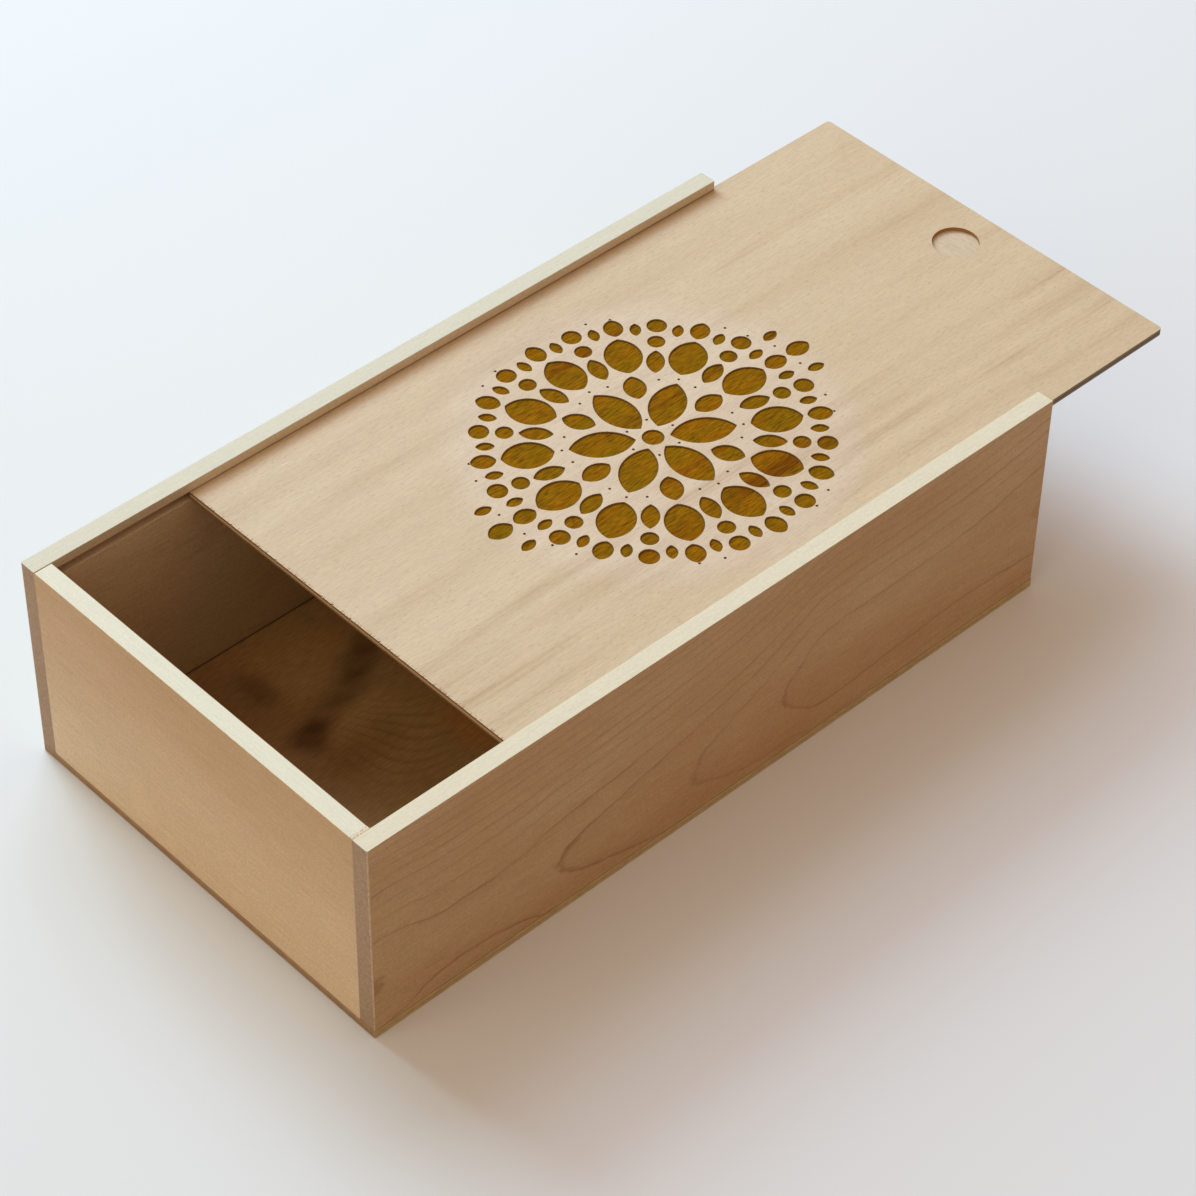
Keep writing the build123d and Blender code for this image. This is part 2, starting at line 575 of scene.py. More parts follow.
@dataclass(frozen=True)
class PlanedLime:
    """Lime wood, planed, sanded and unfinished: pale cream satin, fine fibres and thin brown ring lines.

    Lime has no open pores, so its faces stay fine and even. Its upper edges are painted palest, as
    painted sheen, and the inner face of the lip is painted paler in part, as painted bounce light. Its
    end grain drinks light and looks a third darker. Heights are measured from the floor, and lip_depth from
    the box's middle. foot gives the heights over the lip's lower edge between which the painted shade of
    the gap over the lid fades out, and warmer_upwards how far a board's colour follows its height.
    """

    name: str
    source: Log
    pale: str = "BF9E73"
    warm: str = "B69062"
    # Painted sheen: the paler colour of the tops
    edge: str = "E7E0C5"
    edge_height: float = 98.0
    lip_height: float = 96.0
    lip_depth: float = 91.5
    # Painted bounce light: how far the lip's inner side is painted paler
    lip_bounce_light: float = 0.36
    # Painted shade of the gap over the lid, on the lip's lower arris
    foot: tuple[float, float] = (0.2, 0.7)
    foot_darkness: float = 0.8
    warmer_upwards: float = 0.0
    end: str = "AD8E6F"
    # Painted highlight on the upright arrises
    arris_highlight: str = "D2B896"
    line: str = "93683F"
    line_strength: float = 0.7
    roughness: float = 0.6
    waviness: float = 0.5
    # A ring darkens slowly towards its late wood, and ends in a thin line
    ring_profile: Curve = (
        (0.0, 0.3), (1.0, 0.4), (0.025, 0.04), (0.7, 0.04), (0.915, 0.24), (0.96, 1.0), (0.985, 1.0),
    )

    def ring_lines(self, p: Pattern) -> bpy.types.Node:
        """The growth rings as thin lines, each of its own strength and none of them even.

        Args:
            p: the material being built.

        Returns:
            The node that gives their strength, near 0 between them.
        """
        rings = self.source.rings(p, self.waviness)
        within = p.add("Math", {0: rings}, operation="FRACT")
        profile = p.add("ValToRGB", {"Fac": within}, stops=self.ring_profile)
        whole = p.add("Math", {0: rings}, operation="FLOOR")
        odds = p.add("TexWhiteNoise", {"W": whole}, noise_dimensions="1D")
        weight = p.add("MapRange", {0: odds.outputs["Value"], 3: 0.45, 4: 1.0})
        fading = p.add("MapRange", {0: p.cloud(40, 9), **SPREAD, 3: 0.4, 4: 1.0})
        shown = p.add("Math", {0: weight, 1: fading}, operation="MULTIPLY")
        return p.add("Math", {0: profile, 1: shown}, operation="MULTIPLY")

    def lip(self, p: Pattern) -> bpy.types.Node:
        """Where the lip over the groove is.

        Args:
            p: the material being built.

        Returns:
            The node that gives 1 on the lip and 0 elsewhere.
        """
        over = p.add("Math", {0: p.axes.outputs["Z"], 1: self.lip_height}, operation="GREATER_THAN")
        out = p.add("Math", {0: p.axes.outputs["Y"]}, operation="ABSOLUTE")
        inside = p.add("Math", {0: out, 1: self.lip_depth}, operation="LESS_THAN")
        return p.add("Math", {0: over, 1: inside}, operation="MULTIPLY")

    def paleness(self, p: Pattern, lip: bpy.types.Node) -> bpy.types.Node:
        """Painted light: sheen on the tops wholly, and bounce light on the lip's inner side in part.

        Args:
            p: the material being built.
            lip: what gives 1 on the lip.

        Returns:
            The node that gives it, from 0 to 1.
        """
        upward = p.add(
            "MapRange", {0: p.facing.outputs["Z"], 1: 0.8, 2: 0.98}, interpolation_type="SMOOTHSTEP"
        )
        high = p.add("MapRange", {0: p.axes.outputs["Z"], 1: self.edge_height - 1, 2: self.edge_height})
        top = p.add("Math", {0: upward, 1: high}, operation="MULTIPLY")
        sideways = p.add("Math", {0: p.facing.outputs["Y"]}, operation="ABSOLUTE")
        lip_face = p.add("Math", {0: lip, 1: sideways}, operation="MULTIPLY")
        lip_pale = p.add("Math", {0: lip_face, 1: self.lip_bounce_light}, operation="MULTIPLY")
        return p.add("Math", {0: top, 1: lip_pale}, operation="MAXIMUM")

    def end_grain(self, p: Pattern, ring_line: bpy.types.Node) -> bpy.types.Node:
        """The sawn end: darker, speckled and crossed by the rings.

        Args:
            p: the material being built.
            ring_line: what gives the rings' strength.

        Returns:
            The node that gives its colour.
        """
        pored = p.add("MapRange", {0: ring_line, 3: 1.0, 4: 0.78})
        speck = p.add("MapRange", {0: p.cloud(1.0, 1.0, 2.0), **SPREAD, 3: 0.85, 4: 1.15})
        tone = p.add("Math", {0: pored, 1: speck}, operation="MULTIPLY")
        return p.add(
            "Mix", {"Factor": 1.0, "A": srgb(self.end), "B": tone}, data_type="RGBA", blend_type="MULTIPLY"
        )

    def painted_arris_highlight(self, p: Pattern) -> bpy.types.Node:
        """Painted highlight: an upright arris is painted as a pale dotted line where it catches the light.

        Args:
            p: the material being built.

        Returns:
            The node that gives how strongly each place takes the painted highlight.
        """
        both = p.add("Math", {0: p.facing.outputs["X"], 1: p.facing.outputs["Y"]}, operation="MULTIPLY")
        corner = p.add("Math", {0: both}, operation="ABSOLUTE")
        dots = p.add("MapRange", {0: p.cloud(1.5, 1.5, 1.0), 1: 0.35, 2: 0.6, 3: 0.3, 4: 0.8})
        arris = p.add("MapRange", {0: corner, 1: 0.2, 2: 0.42})
        return p.add("Math", {0: arris, 1: dots}, operation="MULTIPLY")

    def material(self) -> bpy.types.Material:
        """Builds the wood.

        Returns:
            The material.
        """
        p = Pattern(self.name, self.source.grain)
        ring_line = self.ring_lines(p)
        amount = p.add("Math", {0: ring_line, 1: self.line_strength}, operation="MULTIPLY")

        # Pale and warm wood take turns in soft patches, and some boards' colour follows their height
        drift = p.add("MapRange", {0: p.cloud(90, 28), **SPREAD})
        rise = p.add("MapRange", {0: p.axes.outputs["Z"], 1: 8.0, 2: 92.0})
        broad = p.add("Mix", {"Factor": self.warmer_upwards, "A": drift, "B": rise})
        ground = p.add(
            "Mix", {"Factor": broad, "A": srgb(self.pale), "B": srgb(self.warm)}, data_type="RGBA"
        )
        lined = p.add("Mix", {"Factor": amount, "A": ground, "B": srgb(self.line)}, data_type="RGBA")
        # The tops are painted paler as painted sheen, and the lip's inner side as painted bounce light
        lip = self.lip(p)
        paled = self.paleness(p, lip)
        edged = p.add("Mix", {"Factor": paled, "A": lined, "B": srgb(self.edge)}, data_type="RGBA")

        # Painted shade: the lip's lower arris is painted dark, for the shade of the gap over the lid
        darkest, end = (self.lip_height + over for over in self.foot)
        foot = p.add("MapRange", {0: p.axes.outputs["Z"], 1: darkest, 2: end, 3: self.foot_darkness, 4: 0.0})
        dark = p.add("Math", {0: foot, 1: lip}, operation="MULTIPLY")
        edged = p.add("Mix", {"Factor": dark, "A": edged, "B": srgb(self.line)}, data_type="RGBA")

        # Fibres are about 0.03 mm wide: they are drawn in bundles of 0.5 mm, as fine as the render can show
        fibre = p.cloud(14, 0.5, 3.0)
        fuzz = p.cloud(1.2, 0.8, 2.0)
        grit = p.add("Math", {0: fibre, 1: fuzz}, operation="ADD")
        tone = p.add("MapRange", {0: grit, 1: 0.6, 2: 1.4, 3: 0.79, 4: 1.2}, clamp=False)
        depth = p.add("MapRange", {0: paled, 3: 1.0, 4: 0.45})
        streaked = p.add(
            "Mix", {"Factor": depth, "A": edged, "B": tone}, data_type="RGBA", blend_type="MULTIPLY"
        )
        endways = p.add("Math", {0: p.facing.outputs["X"]}, operation="ABSOLUTE")
        sawn = p.add("MapRange", {0: endways, 1: 0.5, 2: 0.9}, interpolation_type="SMOOTHSTEP")
        shaded = p.add(
            "Mix", {"Factor": sawn, "A": streaked, "B": self.end_grain(p, ring_line)}, data_type="RGBA"
        )
        shaded = p.add(
            "Mix", {"Factor": self.painted_arris_highlight(p), "A": shaded, "B": srgb(self.arris_highlight)}, data_type="RGBA"
        )
        relief = p.add("Math", {0: grit, 1: 0.03}, operation="MULTIPLY")
        sunk = p.add("Math", {0: ring_line, 1: -0.02, 2: relief}, operation="MULTIPLY_ADD")
        rough = p.add("MapRange", {0: fuzz, **SPREAD, 3: self.roughness - 0.05, 4: self.roughness + 0.08})
        return p.finish(shaded, rough, sunk, Specular_IOR_Level=0.35)


@dataclass(frozen=True)
class BeechVeneer:
    """Steamed beech, rotary cut and sanded: pinkish buff, soft darker bands and short brown ray flecks.

    A fleck is the cut end of a ray, 1 to 3 mm long and a few tenths wide, which tells beech from other pale
    woods. The lid's cut edges are brown, and darkest along its sides. recess is the finger recess's centre,
    near_edge is where the lid's edge over the opening stands, and dense gives the dark bands across it. The
    laser paled the ground within cleaned_radius of cleaned_centre.
    """

    name: str
    grain: Grain = Grain.ALONG_BOX
    ground: str = "DBC4A0"
    band: str = "AE8C5E"
    fleck: str = "A67C50"
    end_shade: str = "8F6844"
    side_shade: str = "736244"
    bored_shade: str = "A87A42"
    scuff: str = "94582C"
    recess: Point = (226.5, -1.1, 0.0)
    recess_reach: float = 11.0
    near_edge: float = -103.5
    cleaned: str = "E4CFB6"
    cleaned_centre: Point = (49.5, -5.0, 0.0)
    cleaned_radius: float = 84.0
    roughness: float = 0.55
    dense: Bands = (
        (-42, 5, 0.62), (-55, 8, 0.36), (-66, 5, 0.5), (-80, 5, 0.3),
        (-8, 8, 0.2), (24, 7, 0.24), (50, 6, 0.28), (70, 10, 0.22),
    )

    def away(self, p: Pattern, centre: Point) -> bpy.types.NodeSocket:
        """How far each place lies from an upright axis.

        Args:
            p: the material being built.
            centre: where the axis stands on the box.

        Returns:
            The distance in mm.
        """
        along, across, _ = centre
        turned = (across, -along, 0) if self.grain is Grain.ACROSS_BOX else centre
        outward = p.add("VectorMath", {0: p.place, 1: turned}, operation="SUBTRACT")
        flat_out = p.add("VectorMath", {0: outward, 1: (1, 1, 0)}, operation="MULTIPLY")
        return p.add("VectorMath", {0: flat_out}, operation="LENGTH").outputs["Value"]

    def banded(self, p: Pattern) -> bpy.types.Node:
        """The sanded face: its ground, paler and pinker round the engraving, with soft dense bands over it.

        Args:
            p: the material being built.

        Returns:
            The node that gives its colour.
        """
        drift = p.add("MapRange", {0: p.cloud(150, 14, 2.0), 1: 0.4, 2: 0.75, 4: 0.18})
        bands = p.bands(self.dense, 5.0)
        banded = p.add("Math", {0: bands, 1: drift}, operation="ADD")
        # The laser's heat and air cleaned the veneer there
        near_cut = p.add(
            "MapRange",
            {
                0: self.away(p, self.cleaned_centre),
                1: self.cleaned_radius + 4,
                2: self.cleaned_radius - 12,
                4: 0.6,
            },
            interpolation_type="SMOOTHSTEP",
        )
        ground = p.add(
            "Mix", {"Factor": near_cut, "A": srgb(self.ground), "B": srgb(self.cleaned)}, data_type="RGBA"
        )
        return p.add("Mix", {"Factor": banded, "A": ground, "B": srgb(self.band)}, data_type="RGBA")

    def scuffs(self, p: Pattern) -> bpy.types.Node:
        """Where the saw scuffed the fibres along the near edge.

        Args:
            p: the material being built.

        Returns:
            The node that gives how far each place is scuffed.
        """
        from_edge = p.add("Math", {0: p.axes.outputs["X"], 1: self.near_edge}, operation="SUBTRACT")
        close = p.add("MapRange", {0: from_edge, 1: 1.5, 2: 0.1})
        torn = p.add("MapRange", {0: p.cloud(3.5, 0.6, 1.0), 1: 0.53, 2: 0.64, 4: 0.8})
        return p.add("Math", {0: close, 1: torn}, operation="MULTIPLY")

    def cut_edge(self, p: Pattern) -> bpy.types.Node:
        """The ply's cut edge, with the finger recess's wall coloured amber brown all round.

        Args:
            p: the material being built.

        Returns:
            The node that gives its colour.
        """
        across = p.add("Math", {0: p.facing.outputs["X"]}, operation="ABSOLUTE")
        edge = p.add(
            "Mix",
            {"Factor": across, "A": srgb(self.side_shade), "B": srgb(self.end_shade)},
            data_type="RGBA",
        )
        bored = p.add("Math", {0: self.away(p, self.recess), 1: self.recess_reach}, operation="LESS_THAN")
        return p.add("Mix", {"Factor": bored, "A": edge, "B": srgb(self.bored_shade)}, data_type="RGBA")

    def material(self) -> bpy.types.Material:
        """Builds the veneer.

        Returns:
            The material.
        """
        p = Pattern(self.name, self.grain)
        flecks = p.add("Math", {0: p.dashes(2.6, 0.42), 1: 0.34}, operation="MULTIPLY")
        flecked = p.add(
            "Mix", {"Factor": flecks, "A": self.banded(p), "B": srgb(self.fleck)}, data_type="RGBA"
        )
        flecked = p.add(
            "Mix", {"Factor": self.scuffs(p), "A": flecked, "B": srgb(self.scuff)}, data_type="RGBA"
        )

        # Fibres, in bundles as fine as the render can show
        fibre = p.cloud(7, 0.45, 3.0)
        tone = p.add("MapRange", {0: fibre, **SPREAD, 3: 0.93, 4: 1.07}, clamp=False)
        streaked = p.add(
            "Mix", {"Factor": 1.0, "A": flecked, "B": tone}, data_type="RGBA", blend_type="MULTIPLY"
        )
        level = p.add("Math", {0: p.facing.outputs["Z"]}, operation="ABSOLUTE")
        cut = p.add("MapRange", {0: level, 1: 0.7, 2: 0.3}, interpolation_type="SMOOTHSTEP")
        shaded = p.add("Mix", {"Factor": cut, "A": streaked, "B": self.cut_edge(p)}, data_type="RGBA")
        relief = p.add("Math", {0: fibre, 1: 0.03}, operation="MULTIPLY")
        sunk = p.add("Math", {0: flecks, 1: -0.03, 2: relief}, operation="MULTIPLY_ADD")
        rough = p.add("MapRange", {0: fibre, 3: self.roughness - 0.06, 4: self.roughness + 0.08})
        return p.finish(shaded, rough, sunk, Specular_IOR_Level=0.4)


@dataclass(frozen=True)
class BurntBeech:
    """Beech burnt by a laser: olive brown with dark ray dashes, red-brown where the grain is dense."""

    name: str
    ground: str = "966106"
    olive: str = "876207"
    dash: str = "4E3604"
    dense: str = "6C3004"
    roughness: float = 0.7
    bands: Bands = ((49, 5, 1.0), (-52, 7, 1.0), (8, 3, 0.5), (-28, 3, 0.45))

    def material(self) -> bpy.types.Material:
        """Builds the burnt floor of the engraving.

        Returns:
            The material.
        """
        p = Pattern(self.name, Grain.ALONG_BOX)
        mood = p.add("MapRange", {0: p.cloud(40, 12), 1: 0.35, 2: 0.65})
        ground = p.add(
            "Mix", {"Factor": mood, "A": srgb(self.ground), "B": srgb(self.olive)}, data_type="RGBA"
        )
        bands = p.bands(self.bands, 3.0)
        dense = p.add("Mix", {"Factor": bands, "A": ground, "B": srgb(self.dense)}, data_type="RGBA")
        marks = p.add("Math", {0: p.dashes(3.4, 0.6), 1: 0.6}, operation="MULTIPLY")
        dashed = p.add("Mix", {"Factor": marks, "A": dense, "B": srgb(self.dash)}, data_type="RGBA")
        fibre = p.cloud(5, 0.7, 3.0)
        tone = p.add("MapRange", {0: fibre, **SPREAD, 3: 0.64, 4: 1.4}, clamp=False)
        streaked = p.add(
            "Mix", {"Factor": 1.0, "A": dashed, "B": tone}, data_type="RGBA", blend_type="MULTIPLY"
        )
        relief = p.add("Math", {0: fibre, 1: 0.08}, operation="MULTIPLY")
        rough = p.add("MapRange", {0: fibre, 3: self.roughness - 0.05, 4: self.roughness + 0.1})
        return p.finish(streaked, rough, relief, Specular_IOR_Level=0.02)


@dataclass(frozen=True)
class CharredRim:
    """The burnt wall of the engraving: dark olive brown, matt, with lighter fibre ends."""

    name: str
    char: str = "5C3E08"
    scorch: str = "7C5A10"

    def material(self) -> bpy.types.Material:
        """Builds the charred wall.

        Returns:
            The material.
        """
        p = Pattern(self.name, Grain.ALONG_BOX)
        spots = p.cloud(0.8, 0.5, 2.0)
        level = p.add("MapRange", {0: spots, 1: 0.35, 2: 0.65})
        colour = p.add(
            "Mix", {"Factor": level, "A": srgb(self.char), "B": srgb(self.scorch)}, data_type="RGBA"
        )
        rough = p.add("MapRange", {0: spots, 3: 0.75, 4: 0.9})
        relief = p.add("Math", {0: spots, 1: 0.05}, operation="MULTIPLY")
        return p.finish(colour, rough, relief)


@dataclass(frozen=True)
class PeeledVeneer:
    """Rotary-peeled poplar: the knife follows the rings, so its figure wanders in wide loops.

    Where there is a whorl, its lines also run round that place. A fan keeps the lines to its patches, and
    blots are patches that are paler or darker than the rest. walls_at is how far the side boards stand from
    the box's middle, and hairline how far inside them the painted shade of the joint starts and is darkest.
    """

    name: str
    grain: Grain = Grain.ALONG_BOX
    ground: str = "BF9456"
    figure: str = "8A622E"
    end_shade: str = "AC8760"
    edge_shade: str = "BFA570"
    line_strength: float = 0.42
    loops: float = 14.0
    dark: str = "6E4A22"
    light: str = "DDB888"
    dust_and_shade: str = "2E1C0C"
    blots: Blots = ()
    whorl: Point | None = None
    whorl_lines_per_mm: float = 0.22
    fan: Blots = ()
    walls_at: float | None = None
    hairline: tuple[float, float] = (1.1, 0.2)
    roughness: float = 0.62

    def lines(self, p: Pattern) -> bpy.types.Node:
        """The figure's looping lines.

        Args:
            p: the material being built.

        Returns:
            The node that gives their strength.
        """
        hills = p.cloud(150, 60, 1.2)
        steps = p.add("Math", {0: hills, 1: self.loops}, operation="MULTIPLY")
        if self.whorl:
            out = p.add("VectorMath", {0: p.place, 1: self.whorl}, operation="DISTANCE")
            steps = p.add("Math", {0: out, 1: self.whorl_lines_per_mm, 2: steps}, operation="MULTIPLY_ADD")
        within = p.add("Math", {0: steps}, operation="FRACT")
        profile = p.add(
            "ValToRGB", {"Fac": within}, stops=[(0.0, 0.5), (1.0, 0.55), (0.12, 0.0), (0.6, 0.1), (0.9, 0.9)]
        )
        if self.fan:
            seen = {0: p.blots(self.fan), 1: self.line_strength, 2: 0.04}
            fading = p.add("Math", seen, operation="MULTIPLY_ADD")
        else:
            seen = {0: p.cloud(60, 34), 1: 0.4, 2: 0.62, 3: 0.06, 4: self.line_strength}
            fading = p.add("MapRange", seen)
        return p.add("Math", {0: profile, 1: fading}, operation="MULTIPLY")

    def figured(self, p: Pattern) -> bpy.types.Node:
        """The peeled face: its ground with the lines, the blots and broad paler and darker patches.

        Args:
            p: the material being built.

        Returns:
            The node that gives its colour.
        """
        figured = p.add(
            "Mix",
            {"Factor": self.lines(p), "A": srgb(self.ground), "B": srgb(self.figure)},
            data_type="RGBA",
        )
        if self.blots:
            blots = p.blots(self.blots)
            for sign, shade in ((-1.0, self.dark), (1.0, self.light)):
                strength = p.add("Math", {0: blots, 1: sign}, operation="MULTIPLY", use_clamp=True)
                figured = p.add(
                    "Mix", {"Factor": strength, "A": figured, "B": srgb(shade)}, data_type="RGBA"
                )
        patch = p.add("MapRange", {0: p.cloud(120, 60), **SPREAD, 3: 0.86, 4: 1.1})
        return p.add(
            "Mix", {"Factor": 1.0, "A": figured, "B": patch}, data_type="RGBA", blend_type="MULTIPLY"
        )

    def cut_edge(self, p: Pattern) -> bpy.types.Node:
        """The ply's sawn edge, whose fibres are crushed and take the light unevenly.

        Args:
            p: the material being built.

        Returns:
            The node that gives its colour.
        """
        crushed = p.add("MapRange", {0: p.cloud(5, 2.5, 2.0), **SPREAD, 3: 0.86, 4: 1.12})
        across = p.add("Math", {0: p.facing.outputs["X"]}, operation="ABSOLUTE")
        edge = p.add(
            "Mix",
            {"Factor": across, "A": srgb(self.edge_shade), "B": srgb(self.end_shade)},
            data_type="RGBA",
        )
        return p.add(
            "Mix", {"Factor": 1.0, "A": edge, "B": crushed}, data_type="RGBA", blend_type="MULTIPLY"
        )

    def material(self) -> bpy.types.Material:
        """Builds the veneer.

        Returns:
            The material.
        """
        p = Pattern(self.name, self.grain)
        toned = self.figured(p)
        if self.walls_at:
            # Painted shade and dirt: the joint with the side boards is painted dark along an open hairline
            out = p.add("Math", {0: p.axes.outputs["Y"]}, operation="ABSOLUTE")
            start, darkest = (self.walls_at - before for before in self.hairline)
            joint = p.add("MapRange", {0: out, 1: start, 2: darkest, 3: 0.0, 4: 0.8})
            toned = p.add("Mix", {"Factor": joint, "A": toned, "B": srgb(self.dust_and_shade)}, data_type="RGBA")

        # Fibres, in bundles as fine as the render can show
        fibre = p.cloud(6, 0.8, 3.0)
        tone = p.add("MapRange", {0: fibre, **SPREAD, 3: 0.82, 4: 1.18}, clamp=False)
        streaked = p.add(
            "Mix", {"Factor": 1.0, "A": toned, "B": tone}, data_type="RGBA", blend_type="MULTIPLY"
        )
        flat = p.add("Math", {0: p.facing.outputs["Z"]}, operation="ABSOLUTE")
        cut = p.add("MapRange", {0: flat, 1: 0.8, 2: 0.4}, interpolation_type="SMOOTHSTEP")
        shaded = p.add("Mix", {"Factor": cut, "A": streaked, "B": self.cut_edge(p)}, data_type="RGBA")
        relief = p.add("Math", {0: fibre, 1: 0.04}, operation="MULTIPLY")
        rough = p.add("MapRange", {0: fibre, 3: self.roughness - 0.05, 4: self.roughness + 0.08})
        return p.finish(shaded, rough, relief)


@dataclass(frozen=True)
class BrightWire:
    """Drawn steel wire, bright, with fine lines from the die and a smear of dull oxide."""

    name: str
    steel: str = "9C9A96"
    dull: str = "6E6A64"

    def material(self) -> bpy.types.Material:
        """Builds the metal.

        Returns:
            The material.
        """
        p = Pattern(self.name, Grain.ALONG_BOX)
        smear = p.add("MapRange", {0: p.cloud(1.2, 1.2), 1: 0.4, 2: 0.7})
        colour = p.add(
            "Mix", {"Factor": smear, "A": srgb(self.steel), "B": srgb(self.dull)}, data_type="RGBA"
        )
        scratch = p.cloud(2.5, 0.12)
        rough = p.add("MapRange", {0: scratch, 3: 0.28, 4: 0.48})
        relief = p.add("Math", {0: scratch, 1: 0.01}, operation="MULTIPLY")
        return p.finish(colour, rough, relief, Metallic=1.0)


@dataclass(frozen=True)
class DriedGlue:
    """Dried wood glue, pressed out of a joint: pale amber and glossy, with crumbs of wood caught in it."""

    name: str
    clear: str = "E8D8B0"
    deep: str = "BE8C50"

    def material(self) -> bpy.types.Material:
        """Builds the glue.

        Returns:
            The material.
        """
        p = Pattern(self.name, Grain.ALONG_BOX)
        crumbs = p.cloud(0.7, 0.5, 3.0)
        level = p.add("MapRange", {0: crumbs, 1: 0.46, 2: 0.66})
        colour = p.add(
            "Mix", {"Factor": level, "A": srgb(self.clear), "B": srgb(self.deep)}, data_type="RGBA"
        )
        rough = p.add("MapRange", {0: crumbs, 3: 0.25, 4: 0.5})
        relief = p.add("Math", {0: crumbs, 1: 0.12}, operation="MULTIPLY")
        return p.finish(colour, rough, relief)


@dataclass(frozen=True)
class StudioCard:
    """Matt white card that the box stands on."""

    name: str
    white: str = "ECEEEE"

    def material(self) -> bpy.types.Material:
        """Builds the card.

        Returns:
            The material.
        """
        p = Pattern(self.name, Grain.ALONG_BOX)
        mottle = p.add("MapRange", {0: p.cloud(600, 600), **SPREAD, 3: 0.995, 4: 1.005})
        colour = p.add(
            "Mix",
            {"Factor": 1.0, "A": srgb(self.white), "B": mottle},
            data_type="RGBA",
            blend_type="MULTIPLY",
        )
        return p.finish(colour, 0.9)


def cad_corners(node: str) -> tuple[Vector, Vector]:
    """The lowest and the highest corner of a CAD node in mm."""
    low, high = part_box(node)
    return low / MM, high / MM


def hand_over(piece: bpy.types.Object, body: str, slot: str, *nodes: str) -> None:
    """Tells the frame what a finished piece moves with and what it stands for.

    Args:
        piece: the piece.
        body: the CAD body that it moves with.
        slot: the record's material slot; not used.
        nodes: the CAD nodes that it replaces.
    """
    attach(piece, body)
    if nodes:
        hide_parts(*nodes)
    log.info("%s: %d faces, rides on %s", piece.name, len(piece.data.polygons), body)


def at_height(height: float) -> Test:
    """A test for edges and faces that lie level at a height in mm."""
    return lambda corners: all(abs(corner.z - height) < NEAR for corner in corners)


def dress(piece: bpy.types.Object, *materials: bpy.types.Material) -> None:
    """Gives a piece its materials in order.

    Args:
        piece: the piece.
        materials: one for each slot.
    """
    piece.data.materials.clear()
    for material in materials:
        piece.data.materials.append(material)


